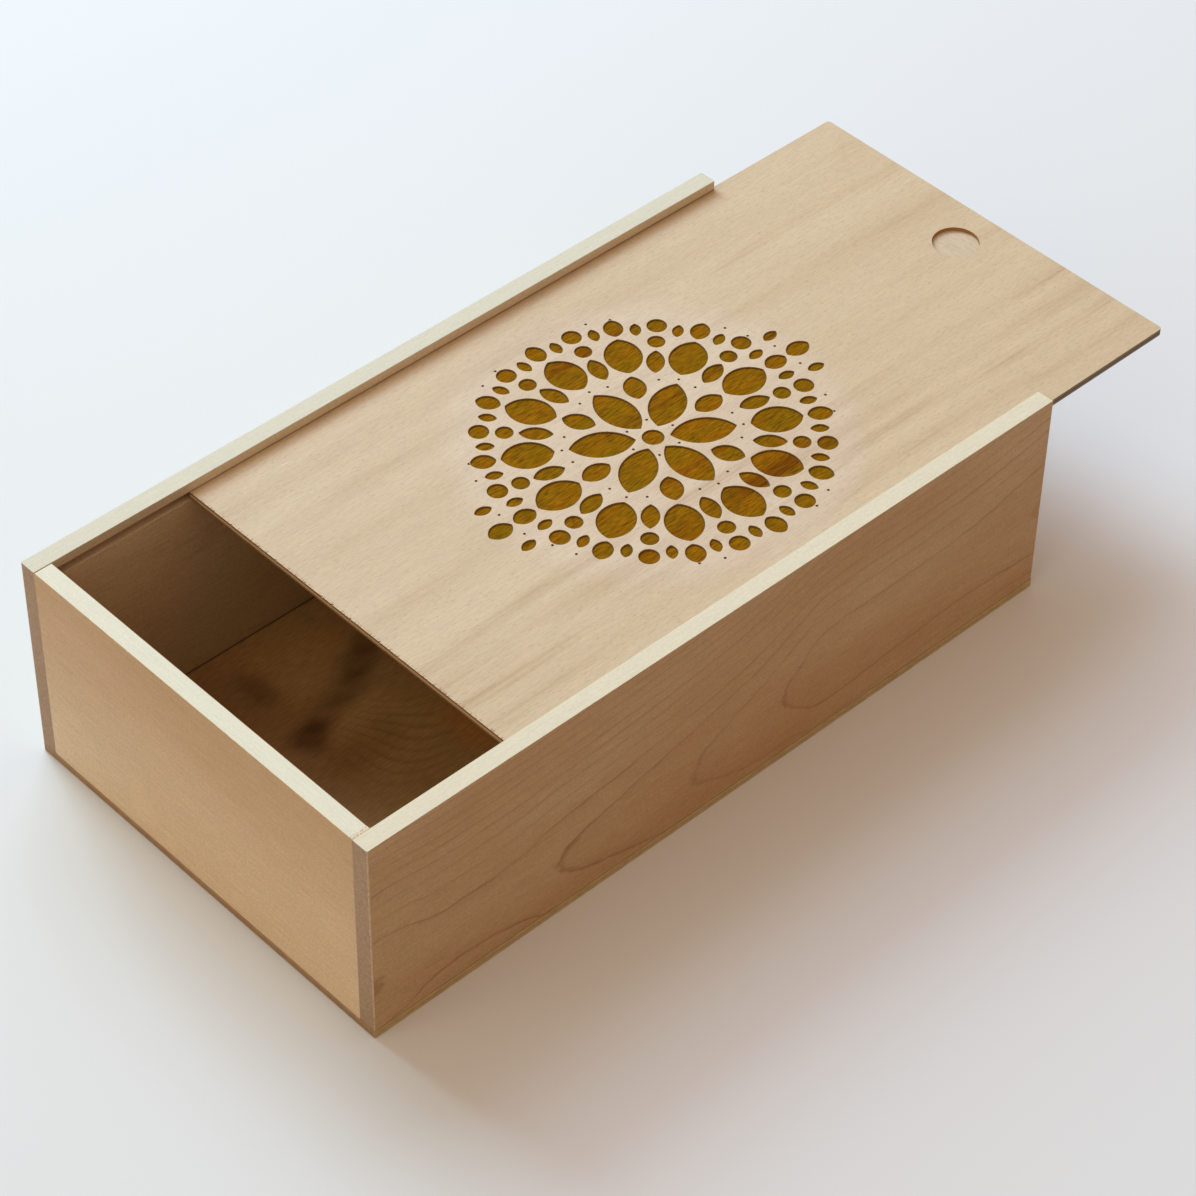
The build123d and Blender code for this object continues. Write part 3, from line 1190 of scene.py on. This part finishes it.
@dataclass
class Carcass:
    """The four solid boards that make the box's wall, with the groove that the lid runs in.

    The glue's bead keeps glue_ends away from the closed end's outer and inner face. It starts as a block
    that is sunk below the top and stands over it. Its corners stray, and it is cut level a little under the
    sides' tops.
    """

    groove_height: float = 3.8
    lip_height: float = 4.5
    side_groove_depth: float = 4.5
    end_groove_depth: float = 5.0
    nose_radius: float = 1.2
    corner_radius: float = 0.8
    eased: float = 0.22
    closed_end_drop: float = 0.12
    closed_end_round: float = 0.6
    open_end_round: float = 0.4
    glue_width: float = 1.7
    glue_ends: tuple[float, float] = (0.5, 0.4)
    glue_sunk: float = 0.6
    glue_over: float = 0.3
    glue_strays: float = 0.42
    glue_cut: float = 0.03

    def side_board(self, side: Side) -> bpy.types.Object:
        """A long side board with its stopped groove and rounded nose.

        Args:
            side: which long side it stands on.

        Returns:
            The board.
        """
        node = "left_side" if side is Side.LEFT else "right_side"
        low, high = cad_corners(node)
        board = Bench.block(f"{node}_board", low, high)
        outer = high.y if side is Side.LEFT else low.y
        inner = low.y if side is Side.LEFT else high.y
        top = high.z - self.lip_height
        bottom = top - self.groove_height

        # The groove's cutter stops in its own round, just past the end board's groove. A hair less than half
        # its height keeps the upper and the lower round apart
        _, end_high = cad_corners("closed_end")
        stop = end_high.x - self.end_groove_depth - self.groove_height / 2
        reach = inner + side.value * self.side_groove_depth
        past = inner - side.value
        cutter = Bench.block(
            "groove_cutter", (stop, min(reach, past), bottom), (high.x + 1, max(reach, past), top)
        )
        Bench.round_edges(
            cutter,
            lambda ends: all(abs(e.x - stop) < NEAR for e in ends) and abs(ends[0].z - ends[1].z) < NEAR,
            width=self.groove_height / 2 - HAIR,
            segments=6,
        )
        Bench.cut(board, cutter)

        def on_nose(ends: list[Vector]) -> bool:
            """Whether an edge belongs to the rounded nose at the far end.

            Args:
                ends: the edge's two ends.

            Returns:
                True if it runs down the outer corner, round the lip or along the top.
            """
            at_end = all(abs(e.x - high.x) < NEAR for e in ends)
            outside = all(abs(e.y - outer) < NEAR for e in ends)
            lip = all(abs(e.y - inner) < NEAR and e.z > top - NEAR for e in ends)
            return at_end and (outside or lip or at_height(high.z)(ends))

        Bench.round_edges(board, on_nose, self.nose_radius, segments=4)
        Bench.round_edges(
            board,
            lambda ends: all(abs(e.x - low.x) < NEAR and abs(e.y - outer) < NEAR for e in ends),
            self.corner_radius,
            segments=3,
        )
        Bench.ease(board, self.eased)
        return board

    def closed_end(self) -> bpy.types.Object:
        """The near end board, with the groove for the lid's edge.

        Returns:
            The board.
        """
        low, high = cad_corners("closed_end")
        high.z -= self.closed_end_drop
        board = Bench.block("closed_end_board", low, high)
        top = high.z + self.closed_end_drop - self.lip_height
        cutter = Bench.block(
            "groove_cutter",
            (high.x - self.end_groove_depth, low.y - 1, top - self.groove_height),
            (high.x + 1, high.y + 1, top),
        )
        Bench.cut(board, cutter)
        Bench.round_edges(board, at_height(high.z), self.closed_end_round, segments=4)
        Bench.ease(board, self.eased)
        return board

    def glue(self, board: bpy.types.Object) -> bpy.types.Object:
        """Lays the glue that was pressed out of the right-hand joint on the closed end's top.

        Args:
            board: the closed end board.

        Returns:
            The board and its glue in one piece, the glue as its second material.
        """
        low, high = cad_corners("closed_end")
        name = board.name
        bead = Bench.block(
            "glue_bead",
            (low.x + self.glue_ends[0], low.y + HAIR, high.z - self.glue_sunk),
            (high.x - self.glue_ends[1], low.y + self.glue_width, high.z + self.glue_over),
        )
        Bench.mark(bead, Element.FACE, lambda corners: True)
        bpy.ops.mesh.subdivide(number_cuts=5)
        bpy.ops.mesh.select_all(action="SELECT")
        bpy.ops.transform.vertex_random(offset=self.glue_strays, uniform=0.0, normal=0.0, seed=4)
        for spot, outward in (
            ((0, 0, high.z - self.glue_cut), (0, 0, 1)),
            ((0, low.y + HAIR / 2, 0), (0, -1, 0)),
        ):
            bpy.ops.mesh.bisect(plane_co=spot, plane_no=outward, use_fill=True, clear_outer=True)
            bpy.ops.mesh.select_all(action="SELECT")
        bpy.ops.mesh.delete_loose()
        Bench.close()
        dress(bead, *board.data.materials)
        for polygon in bead.data.polygons:
            polygon.material_index = 1
        return Bench.join([board, bead], name)

    def open_end(self) -> bpy.types.Object:
        """The far end board, low enough for the lid to slide out over it.

        Returns:
            The board.
        """
        low, high = cad_corners("open_end")
        board = Bench.block("open_end_board", low, high)
        Bench.round_edges(board, at_height(high.z), self.open_end_round, segments=3)
        Bench.ease(board, self.eased)
        return board

    def build(self) -> None:
        """Builds and dresses the four boards."""
        right_log = Log(
            Grain.ALONG_BOX,
            face=-99.0,
            pith_height=(
                (-180, 27.7), (-130, 28.1), (-70, 25.5), (0, 26.6), (50, 36.0), (100, 38.5), (180, 43.7),
            ),
            taper=(
                (-180, -0.12), (-165, -0.2), (-145, -0.46), (-125, -0.49), (-105, -0.38),
                (-90, -0.16), (-45, 0.22), (0, 0.68), (40, 1.23), (52, 1.48),
                (62, 1.51), (100, 1.46), (130, 1.44), (155, 1.55), (180, 1.75),
            ),
        )
        left_log = Log(
            Grain.ALONG_BOX,
            face=99.0,
            first_ring=482.1,
            pith_height=((-180, 62), (-60, 70), (60, 66), (180, 58)),
            taper=((-180, 1.6), (-110, 1.25), (-50, 1.0), (10, 0.7), (70, 0.1), (120, -0.25), (180, -0.1)),
        )
        closed_log = Log(
            Grain.ACROSS_BOX,
            face=177.5,
            reach=100.0,
            first_ring=482.2,
            pith_height=((-100, 128), (0, 122), (100, 118)),
            taper=((-100, 3.2), (-60, 2.6), (-10, 2.3), (50, 0.9), (100, 0.0)),
        )
        open_log = Log(
            Grain.ACROSS_BOX,
            face=-177.5,
            reach=100.0,
            first_ring=482.0,
            pith_height=((-100, 40), (0, 46), (100, 38)),
            taper=((-100, 0.0), (-30, 0.4), (20, 0.9), (60, 1.4), (100, 1.5)),
        )
        boards = (
            (
                self.side_board(Side.RIGHT),
                "right_side",
                PlanedLime(
                    "right_side_planed_lime", right_log, edge="E9E0C3", line_strength=0.9, waviness=0.12
                ),
            ),
            (
                self.side_board(Side.LEFT),
                "left_side",
                PlanedLime(
                    "left_side_planed_lime",
                    left_log,
                    pale="C0A87E",
                    warm="D4BC9A",
                    edge="E0DAC3",
                    line_strength=0.16,
                    # Painted shade: this board's warm colour is its paler one, so it is painted darker
                    # towards the bottom
                    warmer_upwards=0.7,
                ),
            ),
            (
                self.closed_end(),
                "closed_end",
                PlanedLime(
                    "closed_end_planed_lime",
                    closed_log,
                    pale="E8CCA3",
                    warm="C8A070",
                    edge="E9E4CA",
                    line_strength=0.13,
                    roughness=0.52,
                    warmer_upwards=0.85,
                ),
            ),
            (self.open_end(), "open_end", PlanedLime("open_end_planed_lime", open_log, line_strength=0.5)),
        )
        for board, node, wood in boards:
            dress(board, wood.material())
            if node == "closed_end":
                dress(board, *board.data.materials, DriedGlue("joint_dried_glue").material())
                board = self.glue(board)
            Bench.finish(board)
            hand_over(board, "box", "board_wood", node)


@dataclass
class BasePanel:
    """The plywood base under the boards, and the brads that hold it."""

    def build(self) -> None:
        """Dresses the base's plies and brads."""
        # Dark and pale patches of the inside floor, where the photograph shows them. The dark blots are
        # painted shadow, the orange one at (-48, -8) is painted bounce light, and the one at (-62, 68) is
        # paler
        inner_blots = (
            (-97, 65, 9, 13, -0.3), (-99, 31, 13, 10, -0.45), (-85, 37, 15, 9, -0.4),
            (-71, 43, 15, 9, -0.45), (-58, 50, 15, 9, -0.5), (-45, 58, 14, 9, -0.5),
            (-109, 40, 25, 60, -0.4), (-84, 13, 22, 13, -0.22), (-48, -8, 12, 22, 0.7),
            (-62, 68, 18, 10, 0.25),
        )
        inner = PeeledVeneer(
            "base_inner_peeled_poplar",
            ground="C69C62",
            light="E09C50",
            dark="5C3818",
            line_strength=0.32,
            blots=inner_blots,
            whorl=(-52, 36, 4),
            fan=((-72, 7, 30, 27, 1.0),),
            walls_at=91.0,
        ).material()
        face = PeeledVeneer("base_peeled_poplar").material()
        core = PeeledVeneer(
            "base_core_poplar", Grain.ACROSS_BOX, "AE8A62", "8E6E48", end_shade="B39A6A", edge_shade="9C7850"
        ).material()
        wire = BrightWire("brad_bright_wire").material()
        for node, material in (
            ("base_inner_veneer", inner),
            ("base_core_veneer", core),
            ("base_outer_veneer", face),
            ("base_brads", wire),
        ):
            dress(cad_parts[node], material)
            log.info("%s: dressed", node)


@dataclass
class Rosette:
    """The engraved rosette: petals round a centre, rings of leaves and berries, a sprig at either end.

    step is how long the flats of its outlines are.
    """

    centre_x: float = 49.5
    centre_y: float = -5.0
    depth: float = 0.6
    rim_width: float = 0.28
    rim_depth: float = 0.18
    floor_bevel: float = 0.08
    dot_radius: float = 0.62
    step: float = 0.8

    def disc(
        self, name: str, distance: float, radius: float, top: float, across: float = 0.0
    ) -> bpy.types.Object:
        """A flat round outline with its face.

        Args:
            name: its name.
            distance: from the rosette's centre to its own.
            radius: its radius.
            top: the height of the lid's top.
            across: how far its centre lies to the side.

        Returns:
            The disc.
        """
        bpy.ops.object.select_all(action="DESELECT")
        bpy.ops.mesh.primitive_circle_add(
            vertices=max(12, 4 * round(math.tau * radius / self.step / 4)),
            radius=radius,
            fill_type="NGON",
            location=(distance, across, top),
        )
        return Bench.settle(bpy.context.object, name)

    def leaf(self, name: str, distance: float, length: float, width: float, top: float) -> bpy.types.Object:
        """A flat leaf outline: a slice of a disc, and the same slice turned over.

        Args:
            name: its name.
            distance: from the rosette's centre to the leaf's middle.
            length: the leaf's length, outwards from the centre.
            width: its width.
            top: the height of the lid's top.

        Returns:
            The leaf.
        """
        half_length, half_width = length / 2, width / 2
        radius = (half_length ** 2 + half_width ** 2) / (2 * half_width)
        leaf = self.disc(name, distance, radius, top, radius - half_width)
        Bench.mark(leaf, Element.FACE, lambda corners: True)
        bpy.ops.mesh.bisect(plane_co=(0, 0, 0), plane_no=(0, 1, 0), clear_outer=True)
        Bench.close()
        modifier = leaf.modifiers.new("other_half", "MIRROR")
        modifier.use_axis = (False, True, False)
        modifier.merge_threshold = NEAR
        Bench.take(leaf)
        bpy.ops.object.modifier_apply(modifier=modifier.name)
        Bench.mark(leaf, Element.EDGE, lambda ends: all(abs(e.y) < FLUSH for e in ends))
        bpy.ops.mesh.dissolve_edges(use_verts=False)
        bpy.ops.mesh.select_all(action="SELECT")
        bpy.ops.mesh.remove_doubles(threshold=self.step / 3)
        Bench.close()
        return leaf

    def turned_copies(self, shape: bpy.types.Object, angles: Sequence[float]) -> list[bpy.types.Object]:
        """Copies a shape round the rosette's centre.

        Args:
            shape: the shape, about the world's Z axis. It is used up.
            angles: where each copy stands, in degrees.

        Returns:
            The copies in place on the lid.
        """
        made = []
        for angle in angles:
            copy = shape.copy()
            copy.data = shape.data.copy()
            bpy.context.scene.collection.objects.link(copy)
            copy.data.transform(
                Matrix.Translation((self.centre_x, self.centre_y, 0))
                @ Matrix.Rotation(math.radians(angle), 4, "Z")
            )
            made.append(copy)
        bpy.data.objects.remove(shape, do_unlink=True)
        return made

    def outlines(self, top: float) -> list[bpy.types.Object]:
        """Every motif of the rosette, flat on the lid.

        Args:
            top: the height of the lid's top.

        Returns:
            The motifs.
        """
        sixth = [60 * i for i in range(6)]
        twelfth = [30 * i for i in range(12)]
        between = [30 * i + 15 for i in range(12)]
        fern = [15 * i + 7.5 for i in range(24)]
        eighth = [45 * i + 22.5 for i in range(8)]
        motifs = self.turned_copies(self.disc("centre_seed", 0, 4.5, top), [0])
        for name, distance, length, width, angles in (
            ("petal", 20.3, 27.0, 15.0, [30 + a for a in sixth]),
            ("sepal", 30.3, 14.0, 9.4, sixth),
            ("leaf", 50.0, 21.5, 15.6, twelfth),
            ("bud", 45.6, 14.0, 7.6, between),
            ("outer_leaf", 67.6, 10.6, 8.2, twelfth),
            ("fern", 65.6, 7.8, 4.8, fern),
            ("tip_leaf", 80.0, 11.6, 8.4, [0, 180]),
            ("side_leaf", 78.4, 8.0, 4.8, [-9.5, 9.5, 170.5, 189.5]),
        ):
            motifs += self.turned_copies(self.leaf(name, distance, length, width, top), angles)
        motifs += self.turned_copies(self.disc("berry", 58.0, 3.7, top), between)
        motifs += self.turned_copies(self.disc("outer_berry", 68.0, 4.2, top), between)
        for distance, angles in (
            (10.6, sixth),
            (36.4, [30 + a for a in sixth]),
            (34.6, [a + b for a in sixth for b in (17.5, 42.5)]),
            (74.6, [5.5, -5.5, 174.5, 185.5]),
            (73.2, [a + b for a in eighth for b in (-7.5, 0.5)]),
        ):
            motifs += self.turned_copies(self.disc("dot", distance, self.dot_radius, top), angles)
        return motifs

    def engrave(self, ply: bpy.types.Object, top: float) -> bpy.types.Object:
        """Sinks the rosette into a ply. The ply's top is laid again round the motifs.

        Args:
            ply: the lid's face ply.
            top: the height of its top.

        Returns:
            The engraved ply, with the burnt floors and rims as its second and third materials.
        """
        name = ply.name

        def on_top(corners: list[Vector]) -> bool:
            """Whether a face or edge lies in the top."""
            return all(abs(corner.z - top) < FLUSH for corner in corners)

        Bench.mark(ply, Element.FACE, on_top)
        bpy.ops.mesh.delete(type="FACE")
        Bench.close()
        for polygon in ply.data.polygons:
            polygon.material_index = 0
        motifs = Bench.join(self.outlines(top), "motifs")
        dress(motifs, *ply.data.materials)
        for polygon in motifs.data.polygons:
            polygon.material_index = 1
        engraved = Bench.join([ply, motifs], name)
        Bench.mark(engraved, Element.EDGE, on_top)
        bpy.ops.mesh.fill(use_beauty=False)
        Bench.close()
        for polygon in engraved.data.polygons:
            if len(polygon.vertices) == 3 and abs(polygon.center.z - top) < FLUSH:
                polygon.material_index = 0

        # Each motif goes down with a slanted rim, an upright wall and a small bevel at its floor
        wall = self.depth - self.rim_depth - self.floor_bevel
        Bench.mark(engraved, Element.FACE, lambda corners: len(corners) > 4 and on_top(corners))
        bpy.ops.mesh.inset(thickness=self.rim_width, depth=-self.rim_depth)
        bpy.ops.mesh.inset(thickness=HAIR, depth=-wall)
        bpy.ops.mesh.inset(thickness=self.floor_bevel, depth=-self.floor_bevel)
        bpy.ops.mesh.select_all(action="SELECT")
        bpy.ops.mesh.normals_make_consistent(inside=False)
        Bench.close()
        # What was burnt and isn't level is rim or wall
        for polygon in engraved.data.polygons:
            if polygon.material_index == 1 and polygon.normal.z < 0.9:
                polygon.material_index = 2
        return engraved


@dataclass
class SlidingLid:
    """The three-ply lid, with its finger recess and its engraving.

    chip_depth and chip_width give the least of a splinter's size and how much more the largest has.
    """

    corner_radius: float = 1.5
    recess_radius: float = 10.0
    recess_depth: float = 1.8
    recess_from_end: float = 21.0
    recess_rim: float = 0.12
    recess_bevel: float = 0.1
    eased: float = 0.12
    chips: int = 17
    chip_margin: float = 3.0
    chip_depth: tuple[float, float] = (0.25, 0.5)
    chip_width: tuple[float, float] = (0.3, 0.5)
    rosette: Rosette = field(default_factory=Rosette)

    def ply(self, node: str, name: str) -> bpy.types.Object:
        """One ply of the lid with rounded corners.

        Args:
            node: the CAD node that it follows.
            name: the new piece's name.

        Returns:
            The ply.
        """
        low, high = cad_corners(node)
        ply = Bench.block(name, low, high)
        Bench.round_edges(ply, lambda ends: abs(ends[0].z - ends[1].z) > NEAR, self.corner_radius, 5)
        Bench.ease(ply, self.eased)
        return ply

    def recess_cutter(self, top: float) -> bpy.types.Object:
        """The space of the finger recess, with a slightly eased rim.

        Args:
            top: the height of the lid's top.

        Returns:
            The cutter.
        """
        low, high = cad_corners("lid_face_veneer")
        centre = (high.x - self.recess_from_end, (low.y + high.y) / 2)
        # A drum that stands a hair over the lid, whose lower face is then pushed down into it
        cutter = Bench.drum("recess_cutter", (*centre, top + 1), self.recess_radius, 2 - 2 * HAIR, sides=96)
        Bench.mark(cutter, Element.FACE, at_height(top + HAIR))
        wall = self.recess_depth - self.recess_rim - self.recess_bevel
        bpy.ops.mesh.inset(thickness=self.recess_rim, depth=self.recess_rim + HAIR)
        bpy.ops.mesh.inset(thickness=HAIR, depth=wall)
        bpy.ops.mesh.inset(thickness=self.recess_bevel, depth=self.recess_bevel)
        Bench.close()
        return cutter

    def chip_cutter(self, low: Vector, high: Vector) -> bpy.types.Object:
        """The splinters that the saw tore out of the face ply's near edge.

        Args:
            low: the ply's lowest corner.
            high: its highest corner.

        Returns:
            One cutter with a small wedge for each.
        """
        wedges = []
        # Steps whose fractions come evenly, but in no order that the eye would catch
        for i in range(self.chips):
            along = (i + 0.5) * 0.618 % 1
            deep = self.chip_depth[0] + self.chip_depth[1] * (i * 0.377 % 1)
            wide = self.chip_width[0] + self.chip_width[1] * (i * 0.731 % 1)
            place = low.y + self.chip_margin + (high.y - low.y - 2 * self.chip_margin) * along
            bpy.ops.object.select_all(action="DESELECT")
            bpy.ops.mesh.primitive_cylinder_add(
                vertices=4, radius=1, depth=0.8, location=(low.x, place, high.z + 0.1), scale=(deep, wide, 1)
            )
            wedges.append(Bench.settle(bpy.context.object, "chip"))
        return Bench.join(wedges, "chips")

    def build(self) -> None:
        """Builds and dresses the lid's plies."""
        low, high = cad_corners("lid_face_veneer")
        top = high.z
        face = self.ply("lid_face_veneer", "lid_face_ply")
        core = self.ply("lid_core_veneer", "lid_core_ply")
        back = self.ply("lid_back_veneer", "lid_back_ply")
        Bench.cut(face, self.chip_cutter(low, high))
        Bench.cut(face, self.recess_cutter(top))
        Bench.cut(core, self.recess_cutter(top))
        veneer = BeechVeneer("lid_sanded_beech").material()
        inner = BeechVeneer(
            "lid_core_beech",
            Grain.ACROSS_BOX,
            ground="DCC8AA",
            end_shade="523918",
            side_shade="D2B488",
            cleaned_radius=1.0,
            dense=((0, 5, 0.1),),
        ).material()
        dress(
            face,
            veneer,
            BurntBeech("engraving_burnt_beech").material(),
            CharredRim("engraving_charred_rim").material(),
        )
        face = self.rosette.engrave(face, top)
        dress(core, inner)
        dress(back, veneer)
        for ply, node in ((face, "lid_face_veneer"), (core, "lid_core_veneer"), (back, "lid_back_veneer")):
            Bench.finish(ply)
            hand_over(ply, "lid", "ply_core" if ply is core else "beech_face", node)


@dataclass(frozen=True)
class Lamp:
    """A soft square lamp that looks at the box, its turn and height in degrees and its lengths in metres."""

    name: str
    turn: float
    height: float
    distance: float
    size: float
    power: float
    colour: tuple[float, float, float]

    def add(self, target: Vector) -> None:
        """Adds the lamp.

        Args:
            target: the point that it looks at, in metres.
        """
        turn, height = math.radians(self.turn), math.radians(self.height)
        way = Vector(
            (math.cos(turn) * math.cos(height), math.sin(turn) * math.cos(height), math.sin(height))
        )
        bpy.ops.object.select_all(action="DESELECT")
        bpy.ops.object.light_add(
            type="AREA",
            location=target + way * self.distance,
            rotation=way.to_track_quat("Z", "Y").to_euler(),
        )
        lamp = bpy.context.object
        lamp.name = self.name
        lamp.data.shape = "SQUARE"
        lamp.data.size = self.size
        lamp.data.energy = self.power
        lamp.data.color = self.colour


@dataclass
class Studio:
    """The floor, lamps, surroundings and camera at the photograph's place, in metres and degrees."""

    target: Point = (0.035, 0.0, 0.05)
    eye: Point = (-0.72682, -0.78311, 1.0615)
    turned: Point = (46.2191, -0.7548, -43.1521)
    lens: float = 113.037
    floor_size: float = 12.0
    lamps: tuple[Lamp, ...] = (
        Lamp("key_lamp", 66, 50, 3.4, 2.1, 56.5, (0.618, 0.761, 1.0)),
        Lamp("low_key_lamp", 88, 36, 3.4, 1.6, 64.7, (0.563, 0.867, 1.0)),
        Lamp("near_lamp", 179, 44, 2.7, 2.1, 9.5, (0.903, 1.0, 0.8)),
    )
    sky: tuple[float, float, float] = (0.476, 0.333, 0.248)
    seen_sky: str = "EDF2F5"

    def floor(self) -> None:
        """Lays the floor."""
        bpy.ops.object.select_all(action="DESELECT")
        bpy.ops.mesh.primitive_grid_add(x_subdivisions=8, y_subdivisions=8, size=self.floor_size)
        floor = Bench.settle(bpy.context.object, "studio_floor")
        dress(floor, StudioCard("studio_white_card").material())

    def surroundings(self) -> None:
        """Sets the light that comes from all round, and what is seen past the floor."""
        world = bpy.data.worlds.new("studio_air")
        bpy.context.scene.world = world
        world.use_nodes = True
        tree = world.node_tree
        tree.nodes.clear()
        fill = add_node(tree, "Background", {"Color": (*self.sky, 1)})
        seen = add_node(tree, "Background", {"Color": srgb(self.seen_sky)})
        path = add_node(tree, "LightPath")
        mix = add_node(tree, "MixShader", {"Fac": path.outputs["Is Camera Ray"], 1: fill, 2: seen})
        add_node(tree, "OutputWorld", {"Surface": mix})

    def camera(self) -> None:
        """Stands the camera where the photograph was taken from."""
        bpy.ops.object.select_all(action="DESELECT")
        bpy.ops.object.camera_add(location=self.eye, rotation=[math.radians(a) for a in self.turned])
        camera = bpy.context.object
        camera.name = "photograph_camera"
        camera.data.lens = self.lens
        camera.data.sensor_width = 36.0
        camera.data.clip_start = 0.05
        camera.data.clip_end = 60.0
        bpy.context.scene.camera = camera

    def build(self) -> None:
        """Sets up the whole studio."""
        self.camera()
        self.floor()
        self.surroundings()
        for lamp in self.lamps:
            lamp.add(Vector(self.target))
        bpy.context.scene.view_settings.view_transform = "Standard"
        log.info("studio: floor, %d lamps, camera", len(self.lamps))


def main() -> None:
    """Builds the studio and the box."""
    logging.basicConfig(level=logging.INFO, format="%(message)s")
    Studio().build()
    Carcass().build()
    BasePanel().build()
    SlidingLid().build()


if __name__ == "__main__":
    main()
